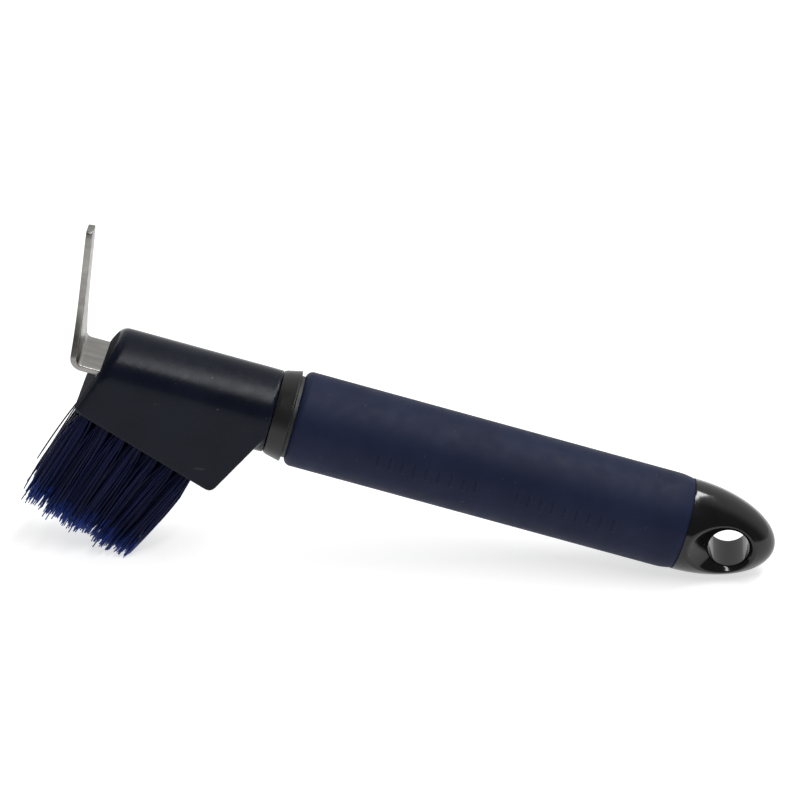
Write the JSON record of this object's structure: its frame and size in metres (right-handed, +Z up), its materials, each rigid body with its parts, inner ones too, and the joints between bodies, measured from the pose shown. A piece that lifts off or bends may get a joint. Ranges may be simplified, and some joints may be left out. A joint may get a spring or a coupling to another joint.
{
  "type": "hoof pick",
  "caption": "Hoof pick: bent steel strip hook and angled bristle brush on a moulded head, with a collar, a soft rubber grip sleeve and a domed end cap with a hang hole",
  "frame": {"origin": "middle of the footprint on the surface the tool stands on, resting on its rear bristle tips and the underside of its end cap", "axes": "+X towards the end cap along the footprint, +Z up with the hook on top, Y across; the handle falls 14.36 degrees towards +X; halves mirror about XZ"},
  "size_m": [0.218, 0.029, 0.1015],
  "materials": {
    "steel": "bright plated strip",
    "head_plastic": "satin navy",
    "black_plastic": "satin black",
    "grip_rubber": "soft matte navy",
    "cap_plastic": "gloss black",
    "anchor_steel": "plain",
    "bristle": "navy filament"
  },
  "bodies": {
    "root": {"pick": "steel", "head": "head_plastic", "collar": "black_plastic", "core": "black_plastic", "grip_sleeve": "grip_rubber", "end_cap": "cap_plastic", "tuft_anchors": "anchor_steel", "tuft_1_1": "bristle", "tuft_1_2": "bristle", "tuft_1_3": "bristle", "tuft_1_4": "bristle", "tuft_2_1": "bristle", "tuft_2_2": "bristle", "tuft_2_3": "bristle", "tuft_2_4": "bristle", "tuft_3_1": "bristle", "tuft_3_2": "bristle", "tuft_3_3": "bristle", "tuft_3_4": "bristle", "tuft_4_1": "bristle", "tuft_4_2": "bristle", "tuft_4_3": "bristle", "tuft_4_4": "bristle", "tuft_5_1": "bristle", "tuft_5_2": "bristle", "tuft_5_3": "bristle", "tuft_5_4": "bristle", "tuft_6_1": "bristle", "tuft_6_2": "bristle", "tuft_6_3": "bristle", "tuft_6_4": "bristle", "tuft_7_1": "bristle", "tuft_7_2": "bristle", "tuft_7_3": "bristle", "tuft_7_4": "bristle"}
  },
  "joints": []
}
